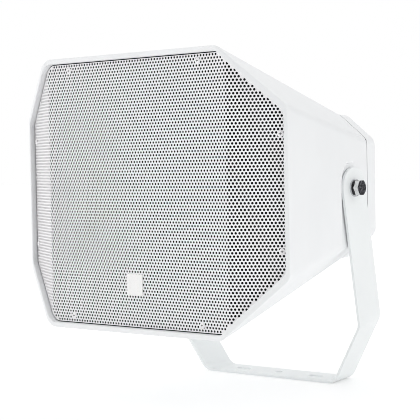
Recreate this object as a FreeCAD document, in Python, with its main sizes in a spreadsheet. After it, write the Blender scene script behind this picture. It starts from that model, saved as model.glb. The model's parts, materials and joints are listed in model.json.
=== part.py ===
import FreeCAD, Part
import math
import os
import re
import Sketcher
from FreeCAD import Placement, Rotation, Vector

# Horn speaker: tapered octagonal cabinet behind a folded perforated grille, hung in a U bracket.
# Origin: centre of the underside of the bracket's base. The grille faces -Y, +Z is up.
# Cabinet pieces are drawn from the grille's middle panel (y = 0, rearwards positive) and the
# cabinet's mid-height (z = 0), then placed by the pivot.

SIZES = {
    # Pivot, measured from the bracket's base and from the grille's middle panel
    "pivot_height": 238.3,
    "pivot_forward": 42.7,
    "pivot_depth": 229.0,
    # Cabinet sections at the grille plane and at the seam, with their corner cuts
    "mouth_width": 392.0,
    "mouth_height": 306.3,
    "mouth_corner_w": 73.0,
    "mouth_corner_h": 60.0,
    "seam_width": 252.6,
    "seam_height": 178.8,
    "seam_corner_w": 38.9,
    "seam_depth": 285.0,
    "front_stock": 30.0,
    "edge_radius": 14.0,
    "wall": 3.5,
    # Folded front: two vertical folds, raised lip, bed for the grille
    "fold_width": 258.5,
    "fold_angle": 30.0,
    "fold_radius": 7.0,
    "lip_height": 7.4,
    "lip_outer_round": 1.8,
    "lip_inner_round": 1.0,
    "rim_side": 4.6,
    "rim_top": 4.45,
    "corner_less_w": 11.1,
    "corner_more_h": 4.8,
    "bed_round": 11.0,
    "bed_gap": 1.2,
    "seat_gap": 0.3,
    "ledge_width": 16.0,
    "ledge_thick": 4.0,
    "mouth_reach": 45.0,
    # Grille, its perforation (drawn at a coarser pitch than the real 4 mm) and screws
    "grille_thick": 0.8,
    "hole_pitch": 28.0,
    "hole_size": 15.0,
    "grille_screw_x": 94.0,
    "grille_screw_inset": 8.7,
    "facet_screw_inset": 6.5,
    "facet_screw_z": 61.0,
    "grille_screw_head": 6.6,
    "grille_screw_crown": 4.0,
    "grille_screw_head_high": 1.6,
    "grille_screw_rim": 0.8,
    "grille_screw_size": 3.5,
    "grille_screw_length": 9.0,
    "screen_thick": 1.5,
    "badge_width": 22.0,
    "badge_height": 23.0,
    "badge_drop": 100.5,
    "badge_thick": 1.6,
    "badge_round": 1.5,
    "badge_edge": 0.5,
    # Web inside the cabinet that carries the driver at the throat
    "web_depth": 216.0,
    "web_thick": 4.0,
    "throat_lap": 11.5,
    # Rear cover and seam
    "seal_thick": 1.2,
    "seal_inset": 0.9,
    "seal_width": 2.2,
    "cover_depth": 24.0,
    "cover_draft_w": 1.2,
    "cover_draft_h": 1.0,
    "cover_round": 6.5,
    "post_inset_w": 27.8,
    "post_inset_h": 24.8,
    "post_rib": 9.0,
    "post_size": 12.0,
    "post_length": 20.0,
    "cover_screw_size": 4.0,
    "cover_screw_head": 8.0,
    "cover_screw_head_high": 2.6,
    "cover_screw_sink": 0.2,
    "cover_screw_bite": 16.0,
    "screw_fit": 0.3,
    "thread_fit": 0.1,
    # Side pockets for the bracket arms
    "pocket_sink": 2.0,
    "pocket_front": 36.0,
    "pocket_top": 28.0,
    "pocket_round": 26.0,
    "pocket_edge": 4.0,
    "pocket_low": 160.0,
    "pocket_back": 130.0,
    "pocket_out": 230.0,
    # U bracket
    "arm_width": 48.0,
    "arm_lean": 11.2,
    "arm_reach": 164.0,
    "base_width": 193.4,
    "strap_thick": 3.0,
    "bend_radius": 14.0,
    "pivot_hole": 11.0,
    "slot_length": 22.0,
    "slot_width": 9.0,
    "slot_spacing": 112.0,
    "base_hole": 10.5,
    # Pivot bolts, M10
    "bolt_size": 10.0,
    "bolt_af": 17.0,
    "bolt_head_high": 6.4,
    "bolt_crown": 16.0,
    "bolt_slope": 30.0,
    "flat_washer_size": 21.0,
    "flat_washer_thick": 2.0,
    "spring_washer_size": 18.0,
    "spring_washer_thick": 2.5,
    "spring_washer_gap": 1.6,
    "washer_fit": 0.3,
    "friction_size": 38.0,
    "friction_thick": 2.0,
    "insert_size": 16.0,
    "insert_length": 20.0,
    "insert_fit": 0.05,
    "boss_size": 30.0,
    "boss_length": 26.0,
    # Driver
    "gasket_thick": 1.5,
    "gasket_width": 10.5,
    "basket_size": 165.0,
    "flange_thick": 2.5,
    "flange_width": 18.5,
    "basket_deep": 48.0,
    "basket_back": 92.0,
    "basket_sheet": 2.4,
    "window_count": 6.0,
    "window_angle": 38.0,
    "window_margin": 7.5,
    "window_bite": 4.0,
    "surround_width": 8.0,
    "surround_thick": 0.9,
    "surround_lip": 6.0,
    "cone_flat": 5.0,
    "cone_depth": 34.0,
    "cone_neck": 39.0,
    "cone_thick": 0.8,
    "cap_size": 48.0,
    "cap_rise": 9.0,
    "cap_thick": 0.5,
    "coil_size": 38.0,
    "coil_thick": 0.8,
    "coil_gap": 0.5,
    "coil_lap": 2.0,
    "coil_tail": 14.0,
    "glue_line": 0.1,
    "spider_size": 84.0,
    "spider_thick": 0.7,
    "plate_size": 90.0,
    "plate_thick": 6.0,
    "magnet_size": 90.0,
    "magnet_bore": 50.0,
    "magnet_thick": 16.0,
    "yoke_size": 86.0,
    "yoke_thick": 6.0,
    "driver_screw_inset": 6.0,
    "driver_screw_size": 4.0,
    "driver_screw_head": 7.5,
    "driver_screw_crown": 5.2,
    "driver_screw_head_high": 2.4,
    # Line transformer, terminal block
    "core_width": 42.0,
    "core_high": 35.0,
    "core_stack": 16.0,
    "core_limb": 7.0,
    "core_ear": 8.0,
    "ear_thick": 1.5,
    "winding_over": 6.0,
    "winding_fit": 0.4,
    "transformer_inset": 44.3,
    "transformer_z": 20.0,
    "terminal_width": 40.0,
    "terminal_height": 16.0,
    "terminal_deep": 11.0,
    "terminal_drop": 66.0,
    "terminal_screw_size": 3.0,
    "terminal_screw_head": 5.6,
    "terminal_screw_head_high": 2.0,
    "wall_bite": 2.4,
    # Cable gland
    "gland_x": 62.0,
    "gland_drop": 62.0,
    "gland_thread": 16.0,
    "gland_af": 22.0,
    "gland_collar": 6.0,
    "gland_inner": 5.0,
    "gland_bore": 10.0,
    "gland_nut_long": 13.0,
    "gland_nose": 14.0,
    "gland_shoulder": 4.5,
    "gland_ease": 1.2,
    "gland_locknut_thick": 4.0,
    "gland_cable": 7.0,
}

doc = FreeCAD.newDocument("HornSpeaker")
sheet = doc.addObject("Spreadsheet::Sheet", "Sheet")
for row, (alias, value) in enumerate(SIZES.items(), start=1):
    sheet.set(f"A{row}", alias)
    sheet.set(f"B{row}", str(value))
    sheet.setAlias(f"B{row}", alias)
doc.recompute()

NAMES = re.compile(r"\b[a-z_]+\b")
PARTS = {}
TOUCH = 0.01


def linked(text):
    """Write sheet names in a formula as references to the sheet."""
    return NAMES.sub(lambda m: f"Sheet.{m.group()}" if m.group() in SIZES else m.group(), text)


def bind(obj, prop, formula):
    obj.setExpression(prop, linked(formula))


def size(formula):
    """The number that a formula of sheet sizes has now."""
    answer = doc.Anchor.evalExpression(linked(formula))
    return float(getattr(answer, "Value", answer))


doc.addObject("App::FeaturePython", "Anchor")
FRONT_Y = "-(pivot_forward + pivot_depth)"


def seat(obj, x="0", y="0", z="0", turned=None):
    """Place a cabinet piece from the grille plane and mid-height."""
    if turned:
        obj.Placement = Placement(Vector(), turned)
    bind(obj, "Placement.Base.x", x)
    bind(obj, "Placement.Base.y", f"{FRONT_Y} + {y}")
    bind(obj, "Placement.Base.z", f"pivot_height + {z}")


def body(name):
    made = doc.addObject("PartDesign::Body", name)
    seat(made)
    return made


def keep(name, obj):
    """Name a finished sub-part."""
    obj.Label = name
    PARTS[name] = obj
    return obj


def sketch(owner, plane, loops, offset="0"):
    """Draw closed loops, each a list of corner formulas or a circle (x, y, radius)."""
    drawn = owner.newObject("Sketcher::SketchObject", "Profile")
    flat = next(f for f in owner.Origin.OriginFeatures if f.Role == plane)
    drawn.AttachmentSupport = [(flat, "")]
    drawn.MapMode = "FlatFace"
    bind(drawn, "AttachmentOffset.Base.z", offset)
    for loop in loops:
        if isinstance(loop, tuple):
            circle(drawn, *loop)
        else:
            polygon(drawn, loop)
    return drawn


def fix(drawn, geometry, point, x, y):
    for kind, formula in (("DistanceX", x), ("DistanceY", y)):
        number = drawn.addConstraint(Sketcher.Constraint(kind, -1, 1, geometry, point, size(formula)))
        bind(drawn, f"Constraints[{number}]", formula)


def circle(drawn, x, y, radius):
    middle = Vector(size(x), size(y), 0)
    ring = drawn.addGeometry(Part.Circle(middle, Vector(0, 0, 1), size(radius)))
    fix(drawn, ring, 3, x, y)
    number = drawn.addConstraint(Sketcher.Constraint("Radius", ring, size(radius)))
    bind(drawn, f"Constraints[{number}]", radius)


def polygon(drawn, corners):
    spots = [Vector(size(x), size(y), 0) for x, y in corners]
    lines = [drawn.addGeometry(Part.LineSegment(a, b)) for a, b in zip(spots, spots[1:] + spots[:1])]
    for line, following in zip(lines, lines[1:] + lines[:1]):
        drawn.addConstraint(Sketcher.Constraint("Coincident", line, 2, following, 1))
    for line, (x, y) in zip(lines, corners):
        fix(drawn, line, 1, x, y)


def pad(owner, profile, length, back=False, both=False):
    feature = owner.newObject("PartDesign::Pad", "Pad")
    feature.Profile = profile
    bind(feature, "Length", length)
    feature.Reversed = back
    feature.SideType = "Symmetric" if both else "One side"
    return feature


def pocket_through(owner, profile):
    feature = owner.newObject("PartDesign::Pocket", "Pocket")
    feature.Profile = profile
    feature.Type = "ThroughAll"
    feature.SideType = "Symmetric"
    return feature


def turn(owner, kind, corners, plane):
    """Turn a profile (along the axis, radius) about the sketch's horizontal axis."""
    profile = sketch(owner, plane, [corners])
    feature = owner.newObject(f"PartDesign::{kind}", kind)
    feature.Profile = profile
    feature.ReferenceAxis = (profile, ["H_Axis"])
    feature.Angle = 360


def revolve(name, corners, plane="YZ_Plane"):
    owner = body(name)
    turn(owner, "Revolution", corners, plane)
    return owner


def fillet(owner, radius, chosen):
    """Round the edges of a body's last feature that a test picks."""
    doc.recompute()
    base = owner.Tip
    names = [f"Edge{i}" for i, edge in enumerate(base.Shape.Edges, start=1) if chosen(edge)]
    feature = owner.newObject("PartDesign::Fillet", "Fillet")
    feature.Base = (base, names)
    bind(feature, "Radius", radius)
    return feature


def mirror(source, normal):
    copy = doc.addObject("Part::Mirroring", "Mirror")
    copy.Source = source
    copy.Normal = normal
    if normal.z:
        bind(copy, "Base.z", "pivot_height")
    return copy


def group(*members):
    made = doc.addObject("Part::Compound", "Group")
    made.Links = list(members)
    return made


def both_sides(source):
    return group(source, mirror(source, Vector(1, 0, 0)))


def four_ways(source):
    pair = both_sides(source)
    return group(pair, mirror(pair, Vector(0, 0, 1)))


def fuse(*members):
    made = doc.addObject("Part::MultiFuse", "Fuse")
    made.Shapes = list(members)
    return made


def cut(base, *tools):
    made = doc.addObject("Part::Cut", "Cut")
    made.Base = base
    made.Tool = tools[0] if len(tools) == 1 else fuse(*tools)
    return made


def common(*members):
    made = doc.addObject("Part::MultiCommon", "Common")
    made.Shapes = list(members)
    return made


def rod(diameter, length, x="0", y="0", z="0", along="Y"):
    """Plain cylinder that starts at a point of the cabinet and runs along an axis."""
    made = doc.addObject("Part::Cylinder", "Rod")
    bind(made, "Radius", f"({diameter}) / 2")
    bind(made, "Height", length)
    turns = {"X": Rotation(Vector(0, 1, 0), 90), "Y": Rotation(Vector(1, 0, 0), -90)}
    seat(made, x, y, z, turns[along])
    return made


def ball(radius, y):
    made = doc.addObject("Part::Sphere", "Ball")
    bind(made, "Radius", radius)
    seat(made, y=y)
    return made


def hoop(middle, tube, y):
    """Torus round the cabinet's axis."""
    made = doc.addObject("Part::Torus", "Hoop")
    bind(made, "Radius1", middle)
    bind(made, "Radius2", tube)
    seat(made, y=y, turned=Rotation(Vector(1, 0, 0), -90))
    return made


def octagon(half_w, half_h, corner_w, corner_h, inset="0"):
    """Corners of an octagon whose corner cuts keep their slope, inset all round."""
    slope = f"atan(({corner_h}) / ({corner_w}))"
    side = f"({half_w}) - ({inset})"
    top = f"({half_h}) - ({inset})"
    top_run = f"({half_w}) - ({corner_w}) - ({inset}) * tan({slope} / 2)"
    side_run = f"({half_h}) - ({corner_h}) - ({inset}) * tan(45 deg - {slope} / 2)"
    return [(top_run, top), (side, side_run), (side, f"-({side_run})"), (top_run, f"-({top})"),
            (f"-({top_run})", f"-({top})"), (f"-({side})", f"-({side_run})"), (f"-({side})", side_run),
            (f"-({top_run})", top)]


def section(y, inset="0"):
    """Octagon of the cabinet's taper at a depth."""
    def between(front, rear):
        return f"{front} + ({rear} - {front}) * ({y}) / seam_depth"
    seam_corner_h = "seam_corner_w * mouth_corner_h / mouth_corner_w"
    return octagon(f"({between('mouth_width', 'seam_width')}) / 2",
                   f"({between('mouth_height', 'seam_height')}) / 2",
                   between("mouth_corner_w", "seam_corner_w"),
                   f"mouth_corner_h + ({seam_corner_h} - mouth_corner_h) * ({y}) / seam_depth", inset)


TAPER = "((mouth_width - seam_width) / (2 * seam_depth))"
LIP_DEPTH = "(fold_width / 2 * tan(fold_angle) + lip_height / cos(fold_angle))"
LIP_HALF_W = f"((mouth_width / 2 + {TAPER} * {LIP_DEPTH}) / (1 + {TAPER} * tan(fold_angle)))"
BED_HALF_W = f"({LIP_HALF_W} - rim_side)"
BED_HALF_H = "(mouth_height / 2 - rim_top)"
BED_CORNER_W = "(mouth_corner_w - corner_less_w)"
BED_CORNER_H = "(mouth_corner_h + corner_more_h)"


def bed(inset):
    return octagon(BED_HALF_W, BED_HALF_H, BED_CORNER_W, BED_CORNER_H, inset)


def frustum(first, last, outline, inset="0"):
    """Flat-sided solid between two depths of a tapering octagon."""
    rings = [[Vector(size(x), size(y), size(z)) for x, z in outline(y, inset)] for y in (first, last)]
    quads = [(rings[0][i - 1], rings[0][i], rings[1][i], rings[1][i - 1]) for i in range(len(rings[0]))]
    ends = [rings[0][::-1], rings[1]]
    faces = [Part.Face(Part.makePolygon([*loop, loop[0]])) for loop in ends + quads]
    return Part.Solid(Part.Shell(faces))


def rounded(shape, radius, chosen):
    return shape.makeFillet(size(radius), [edge for edge in shape.Edges if chosen(edge)])


def moulded(name, shape):
    """Cabinet piece whose shape is made here from the sheet's sizes."""
    made = doc.addObject("Part::Feature", name)
    made.Shape = shape
    seat(made)
    return made


def fold_line(depth, outward):
    """The folded front surface at a depth behind the grille's face, closed far away on one side."""
    fold_x = f"fold_width / 2 - ({depth}) * tan(fold_angle / 2)"
    far_x = "mouth_width / 2 + front_stock"
    far_y = f"({depth}) + ({far_x} - ({fold_x})) * tan(fold_angle)"
    return [(f"-({far_x})", far_y), (f"-({fold_x})", depth), (fold_x, depth), (far_x, far_y),
            (far_x, outward), (f"-({far_x})", outward)]


def fold_block(depth, outward):
    """Everything on one side of the folded front surface."""
    tall = size("mouth_height")
    corners = [Vector(size(x), size(y), -tall) for x, y in fold_line(depth, outward)]
    return Part.Face(Part.makePolygon([*corners, corners[0]])).extrude(Vector(0, 0, 2 * tall))


def folded_block(depth, radius, outward):
    """The same with its two folds rounded."""
    fold_x = size(f"fold_width / 2 - ({depth}) * tan(fold_angle / 2)")
    fold_y = size(depth)
    return rounded(fold_block(depth, outward), radius, at_fold(fold_x, fold_y))


def at_fold(fold_x, fold_y):
    def chosen(edge):
        middle = edge.CenterOfMass
        return abs(abs(middle.x) - fold_x) < TOUCH and abs(middle.y - fold_y) < TOUCH
    return chosen


def lying_on(*solids):
    """Test for edges that lie on the skins of some solids all at once."""
    def chosen(edge):
        first, last = edge.ParameterRange
        spots = [Part.Vertex(edge.valueAt(first + (last - first) * share)) for share in (0.1, 0.5, 0.9)]
        return all(solid.Shells[0].distToShape(spot)[0] < TOUCH for solid in solids for spot in spots)
    return chosen


def lengthwise(edge):
    """Edges that run from the mouth to the seam."""
    run = edge.Vertexes[-1].Point - edge.Vertexes[0].Point
    return abs(run.y) > 0.8 * run.Length


def along_y(edge):
    run = edge.Vertexes[-1].Point - edge.Vertexes[0].Point
    return run.Length > 0 and abs(run.y) > 0.999 * run.Length


def bed_prism(name, inset, rounding, reach):
    """Octagonal prism through the front, with rounded corners."""
    owner = body(name)
    pad(owner, sketch(owner, "XZ_Plane", [bed(inset)], "front_stock"), f"front_stock + {reach}", back=True)
    fillet(owner, rounding, along_y)
    return owner


# Cabinet shell

POST_X = "(seam_width / 2 - post_inset_w)"
POST_Z = "(seam_height / 2 - post_inset_h)"
POCKET_FLOOR = f"(mouth_width / 2 - {TAPER} * pivot_depth - pocket_sink)"
ARM_INNER = f"({POCKET_FLOOR} + friction_thick)"
ARM_FACE = f"({ARM_INNER} + strap_thick)"
INSERT_END = f"({POCKET_FLOOR} - insert_length)"
SCREEN_FRONT = "(grille_thick + seat_gap)"
SCREEN_REAR = f"({SCREEN_FRONT} + screen_thick)"
BED_FLOOR = f"({SCREEN_REAR} + seat_gap)"


def rimmed_shell():
    """Tapered outside with a folded, rounded lip and the bed that the grille drops into."""
    shell = rounded(frustum("-front_stock", "seam_depth", section), "edge_radius", lengthwise)
    lip = folded_block("-lip_height", "fold_radius + lip_height", "-4 * front_stock")
    shell = shell.cut(lip)
    on_lip = lying_on(lip)
    fold_x = size("fold_width / 2")
    fold_zone = size("fold_radius + lip_height")

    def outer_edge(edge):
        middle = edge.CenterOfMass
        fold_mark = abs(abs(middle.x) - fold_x) < fold_zone and abs(middle.z) < TOUCH
        return on_lip(edge) and not fold_mark
    shell = rounded(shell, "lip_outer_round", outer_edge)

    loop = [Vector(size(x), -size("front_stock"), size(z)) for x, z in bed("0")]
    reach = Vector(0, size("front_stock + 2 * mouth_reach"), 0)
    rebate = Part.Face(Part.makePolygon([*loop, loop[0]])).extrude(reach)
    rebate = rounded(rebate, "bed_round", along_y)
    rebate = rebate.cut(folded_block(BED_FLOOR, f"fold_radius - {BED_FLOOR}", "2 * seam_depth"))
    return rounded(shell.cut(rebate), "lip_inner_round", lying_on(lip, rebate))


def make_cabinet():
    outer = moulded("Outer", rimmed_shell())
    mouth = bed_prism("Mouth", "ledge_width", "bed_round", "mouth_reach")

    ledge = fold_block(f"{BED_FLOOR} + ledge_thick", "-4 * front_stock")
    flare = moulded("Flare", frustum("-front_stock", "web_depth", section, "wall").cut(ledge))
    chamber = moulded("Chamber", frustum("web_depth + web_thick", "seam_depth", section, "wall"))
    throat = rod("basket_size - 2 * throat_lap", "3 * web_thick", y="web_depth - web_thick")

    housing = body("PocketHousing")
    arm_room(housing, "wall")
    boss = rod("boss_size", "boss_length + wall", f"{POCKET_FLOOR} - boss_length", "pivot_depth", along="X")
    post_front = "seam_depth - post_length"
    corner = "sqrt(mouth_corner_w ^ 2 + mouth_corner_h ^ 2)"
    rib_x = f"{POST_X} + post_rib * mouth_corner_h / {corner}"
    rib_z = f"{POST_Z} + post_rib * mouth_corner_w / {corner}"
    posts = fuse(rod("post_size", "post_length", POST_X, post_front, POST_Z),
                 rod("post_size", "post_length", rib_x, post_front, rib_z))
    hollow = cut(fuse(flare, chamber), both_sides(housing), both_sides(boss), four_ways(posts))

    room = body("PocketRoom")
    arm_room(room, "0")
    insert_seat = rod("insert_size", "insert_length", INSERT_END, "pivot_depth", along="X")
    pilots = [four_ways(rod("cover_screw_size", "cover_screw_bite", POST_X,
                            "seam_depth - cover_screw_bite", POST_Z))]
    pilots += [rod("driver_screw_size", "3 * web_thick", x, "web_depth - web_thick", z)
               for x, z in driver_screw_spots()]
    pilots += [grille_screw_pilot(), facet_screw_pilot()]
    rooms = both_sides(room)
    carved = cut(outer, mouth, hollow, throat, rooms, both_sides(insert_seat), *pilots)
    doc.recompute()
    pocket_edges = [lying_on(side, outer.Shape) for side in rooms.Shape.Solids]
    cabinet = doc.addObject("Part::Feature", "Cabinet")
    cabinet.Shape = rounded(carved.Shape, "pocket_edge", lambda e: any(test(e) for test in pocket_edges))
    keep("horn_cabinet", cabinet)


def arm_room(owner, more):
    """Space beside the cabinet in which an arm turns, open to the rear and below."""
    front = f"pivot_depth - pocket_front - {more}"
    top = f"pocket_top + {more}"
    outline = [(front, "-pocket_low"), ("pivot_depth + pocket_back", "-pocket_low"),
               ("pivot_depth + pocket_back", top), (front, top)]
    profile = sketch(owner, "YZ_Plane", [outline], f"{POCKET_FLOOR} - {more}")
    pad(owner, profile, f"pocket_out - {POCKET_FLOOR}")
    corner_y, corner_z = size(front), size(top)

    def front_top(edge):
        return all(math.hypot(v.Y - corner_y, v.Z - corner_z) < TOUCH for v in edge.Vertexes)
    fillet(owner, f"pocket_round + {more}", front_top)


# Grille, its screws, screen and badge

def make_grille():
    edge = bed_prism("GrilleEdge", "bed_gap", "bed_round - bed_gap", "2 * mouth_reach")
    holes = doc.addObject("Part::Feature", "Perforation")
    holes.Shape = Part.makeCompound(perforation())
    screw_holes = [grille_screw_pilot(), facet_screw_pilot()]
    keep("grille", cut(common(folded_sheet("GrilleSheet", "0", "grille_thick"), edge), holes, *screw_holes))
    screen = folded_sheet("Screen", SCREEN_FRONT, SCREEN_REAR)
    keep("dust_screen", cut(common(screen, edge), *screw_holes))

    badge = body("Badge")
    half_w, half_h = "badge_width / 2", "badge_height / 2"
    plate = rectangle(f"-{half_w}", f"-badge_drop - {half_h}", half_w, f"-badge_drop + {half_h}")
    pad(badge, sketch(badge, "XZ_Plane", [plate]), "badge_thick")
    fillet(badge, "badge_round", along_y)
    face_y = -size("badge_thick")
    fillet(badge, "badge_edge", lambda edge: abs(edge.CenterOfMass.y - face_y) < TOUCH)
    keep("badge_plate", badge)


def folded_sheet(name, front, rear):
    """Sheet between two depths behind the grille's face, with rounded folds."""
    sheet_body = body(name)
    outline = fold_line(front, "0")[:4] + list(reversed(fold_line(rear, "0")[:4]))
    pad(sheet_body, sketch(sheet_body, "XY_Plane", [outline]), "2 * mouth_height", both=True)
    for depth in (front, rear):
        fold_x = size(f"fold_width / 2 - ({depth}) * tan(fold_angle / 2)")
        fillet(sheet_body, f"fold_radius - {depth}", at_fold(fold_x, size(depth)))
    return sheet_body


def perforation():
    """Round holes on a hexagonal grid laid out on the unfolded sheet, then folded with it."""
    pitch = size("hole_pitch")
    fold_x = size("fold_width / 2")
    run_end = (size(BED_HALF_W) - fold_x) / size("cos(fold_angle)")
    margin = size("ledge_width + hole_size / 2")
    fold_margin = size("fold_radius + hole_size / 2")
    rise = pitch * math.sqrt(3) / 2
    rows = int((size(BED_HALF_H) - margin) / rise)
    columns = int((fold_x + run_end) / pitch) + 1
    holes = []
    for row in range(-rows, rows + 1):
        for column in range(-columns, columns + 1):
            along = (column + (row % 2) / 2) * pitch
            bent = max(0, abs(along) - fold_x)
            if abs(abs(along) - fold_x) < fold_margin or not in_field(along, row * rise, bent, margin):
                continue
            holes.append(perforate(along, row * rise, bent))
    return holes


def in_field(along, height, bent, margin):
    """Whether a hole's middle lies inside the sheet's octagon by a margin."""
    x = min(abs(along), size("fold_width / 2")) + bent * size("cos(fold_angle)")
    corner_w, corner_h = size(BED_CORNER_W), size(BED_CORNER_H)
    past_side = x - (size(BED_HALF_W) - corner_w)
    past_top = abs(height) - (size(BED_HALF_H) - corner_h)
    corner = (past_side / corner_w + past_top / corner_h - 1) * corner_w * corner_h
    corner /= math.hypot(corner_w, corner_h)
    return x < size(BED_HALF_W) - margin and corner < -margin


def perforate(along, height, bent):
    side = math.copysign(1, along)
    lean = math.radians(size("fold_angle")) if bent else 0
    flat = min(abs(along), size("fold_width / 2"))
    spot = Vector(side * (flat + bent * math.cos(lean)), size(FRONT_Y) + bent * math.sin(lean),
                  size("pivot_height") + height)
    inward = Vector(-side * math.sin(lean), math.cos(lean), 0)
    deep = size("grille_thick")
    return Part.makeCylinder(size("hole_size / 2"), 3 * deep, spot - inward * deep, inward)


GRILLE_SCREW_Z = f"({BED_HALF_H} - grille_screw_inset)"
FACET_X = f"({BED_HALF_W} - facet_screw_inset)"
FACET_Y = f"(({FACET_X} - fold_width / 2) * tan(fold_angle))"


def grille_screw_pilot():
    return four_ways(rod("grille_screw_size + screw_fit", "2 * grille_screw_length", "grille_screw_x",
                         "-grille_screw_length", GRILLE_SCREW_Z))


def facet_screw_pilot():
    turned = rod("grille_screw_size + screw_fit", "2 * grille_screw_length", z="facet_screw_z")
    turned.Placement = Placement(turned.Placement.Base, facet_turn().multiply(Rotation(Vector(1, 0, 0), -90)))
    bind(turned, "Placement.Base.x", f"{FACET_X} + grille_screw_length * sin(fold_angle)")
    bind(turned, "Placement.Base.y", f"{FRONT_Y} + {FACET_Y} - grille_screw_length * cos(fold_angle)")
    return four_ways(turned)


def facet_turn():
    return Rotation(Vector(0, 0, 1), size("fold_angle"))


def make_grille_screws():
    head, high = "grille_screw_head / 2", "grille_screw_head_high"
    profile = [("grille_screw_length", "0"), (f"-{high}", "0"), (f"-{high}", "grille_screw_crown / 2"),
               ("-grille_screw_rim", head), ("0", head), ("0", "grille_screw_size / 2"),
               ("grille_screw_length", "grille_screw_size / 2")]
    flat = revolve("PanelScrew", profile)
    seat(flat, "grille_screw_x", "0", GRILLE_SCREW_Z)
    angled = revolve("FacetScrew", profile)
    seat(angled, FACET_X, FACET_Y, "facet_screw_z", facet_turn())
    keep("grille_screws", group(four_ways(flat), four_ways(angled)))


# Rear cover, its seal, screws and cable gland

COVER_Y = "(seam_depth + seal_thick)"


def cover_section(y, inset="0"):
    """Octagon of the cover between the seam and its rear face."""
    share = f"(({y}) - {COVER_Y}) / cover_depth"
    seam_corner_h = "seam_corner_w * mouth_corner_h / mouth_corner_w"
    return octagon(f"seam_width / 2 - cover_draft_w * {share}", f"seam_height / 2 - cover_draft_h * {share}",
                   "seam_corner_w", seam_corner_h, inset)


def make_rear_cover():
    rear = f"{COVER_Y} + cover_depth"
    inner = f"{rear} - wall"
    rear_y = size(rear)
    shell = rounded(frustum(COVER_Y, rear, cover_section), "edge_radius", lengthwise)
    shell = rounded(shell, "cover_round", lambda e: all(abs(v.Y - rear_y) < TOUCH for v in e.Vertexes))
    cover = moulded("Cover", shell.cut(frustum(COVER_Y, inner, cover_section, "wall")))
    posts = four_ways(rod("post_size", "cover_depth - wall", POST_X, COVER_Y, POST_Z))
    bores = four_ways(rod("cover_screw_size + 2 * screw_fit", "2 * cover_depth", POST_X, "seam_depth",
                          POST_Z))
    seats = four_ways(rod("cover_screw_head + 2 * screw_fit", "cover_depth", POST_X,
                          f"{rear} - cover_screw_head_high", POST_Z))
    gland = rod("gland_thread + 2 * screw_fit", "cover_depth", "gland_x", f"{rear} - cover_depth / 2",
                "-gland_drop")
    spots = [(x, "-terminal_drop") for x in terminal_screw_spots()]
    spots += [(x, "transformer_z") for x in transformer_screw_spots()]
    pilots = [rod("terminal_screw_size", "2 * wall_bite + thread_fit", x, f"{inner} - wall_bite", z)
              for x, z in spots]
    keep("rear_cover", cut(fuse(cover, posts), bores, seats, gland, *pilots))

    seal = body("Seal")
    ring = [section("seam_depth", "seal_inset"), section("seam_depth", "seal_inset + seal_width")]
    pad(seal, sketch(seal, "XZ_Plane", ring, "-seam_depth"), "seal_thick", back=True)
    keep("rear_gasket", seal)

    head, shank = "cover_screw_head / 2", "cover_screw_size / 2 - thread_fit"
    seat_y = f"{rear} - cover_screw_head_high"
    tip = "seam_depth - cover_screw_bite + screw_fit"
    crown = f"{rear} - cover_screw_sink"
    screw = revolve("CoverScrew", [(tip, "0"), (tip, shank), (seat_y, shank), (seat_y, head), (crown, head),
                                   (crown, "0")])
    seat(screw, POST_X, "0", POST_Z)
    keep("rear_cover_screws", four_ways(screw))


def hexagon(across, x="0", y="0"):
    corner = f"({across}) / sqrt(3)"
    return [(f"({x}) + {corner} * cos({a})", f"({y}) + {corner} * sin({a})") for a in range(0, 360, 60)]


def make_gland():
    rear = f"({COVER_Y} + cover_depth)"
    inside = f"({rear} - wall)"
    gland = body("Gland")
    spot = ("0", "0")
    pad(gland, sketch(gland, "XZ_Plane", [hexagon("gland_af")], f"-{rear}"), "gland_collar", back=True)
    pad(gland, sketch(gland, "XZ_Plane", [spot + ("gland_thread / 2",)], f"-({inside} - gland_inner - wall)"),
        "gland_inner + 2 * wall", back=True)
    pad(gland, sketch(gland, "XZ_Plane", [spot + ("gland_thread / 2",)], f"-{rear}"),
        "gland_collar + gland_nut_long - wall - screw_fit", back=True)
    pocket_through(gland, sketch(gland, "XZ_Plane", [spot + ("gland_bore / 2",)]))
    seat(gland, "gland_x", "0", "-gland_drop")
    keep("gland_body", gland)

    start = f"({rear} + gland_collar)"
    end = f"({start} + gland_nut_long)"
    lip = f"({end} - wall)"
    fit = "(gland_thread / 2 + screw_fit)"
    outer = "gland_af / 2"
    mouth = "(gland_cable / 2 + gland_ease)"
    nut = revolve("GlandNut", [(start, fit), (start, outer), (f"{end} - gland_shoulder", outer),
                               (end, "gland_nose / 2"), (end, mouth), (lip, mouth), (lip, fit)])
    seat(nut, "gland_x", "0", "-gland_drop")
    keep("gland_nut", nut)

    seal_outer = "gland_bore / 2 - thread_fit"
    seal_end = f"{lip} - thread_fit"
    seal = revolve("GlandSeal", [(start, "gland_cable / 2"), (start, seal_outer), (seal_end, seal_outer),
                                 (seal_end, "gland_cable / 2")])
    seat(seal, "gland_x", "0", "-gland_drop")
    keep("gland_seal", seal)

    locknut = body("Locknut")
    bore = spot + ("gland_thread / 2 + thread_fit",)
    pad(locknut, sketch(locknut, "XZ_Plane", [hexagon("gland_af"), bore],
                        f"-({inside} - gland_locknut_thick)"), "gland_locknut_thick", back=True)
    seat(locknut, "gland_x", "0", "-gland_drop")
    keep("gland_locknut", locknut)


# Driver behind the throat

def driver_screw_spots():
    ring = "(basket_size / 2 - driver_screw_inset)"
    return [(f"{ring} * cos({angle})", f"{ring} * sin({angle})") for angle in (45, 135, 225, 315)]


def driver_screw_bores():
    return [rod("driver_screw_size + 2 * screw_fit", "web_thick + gasket_thick + 2 * flange_thick", x,
                "web_depth", z) for x, z in driver_screw_spots()]


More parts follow.
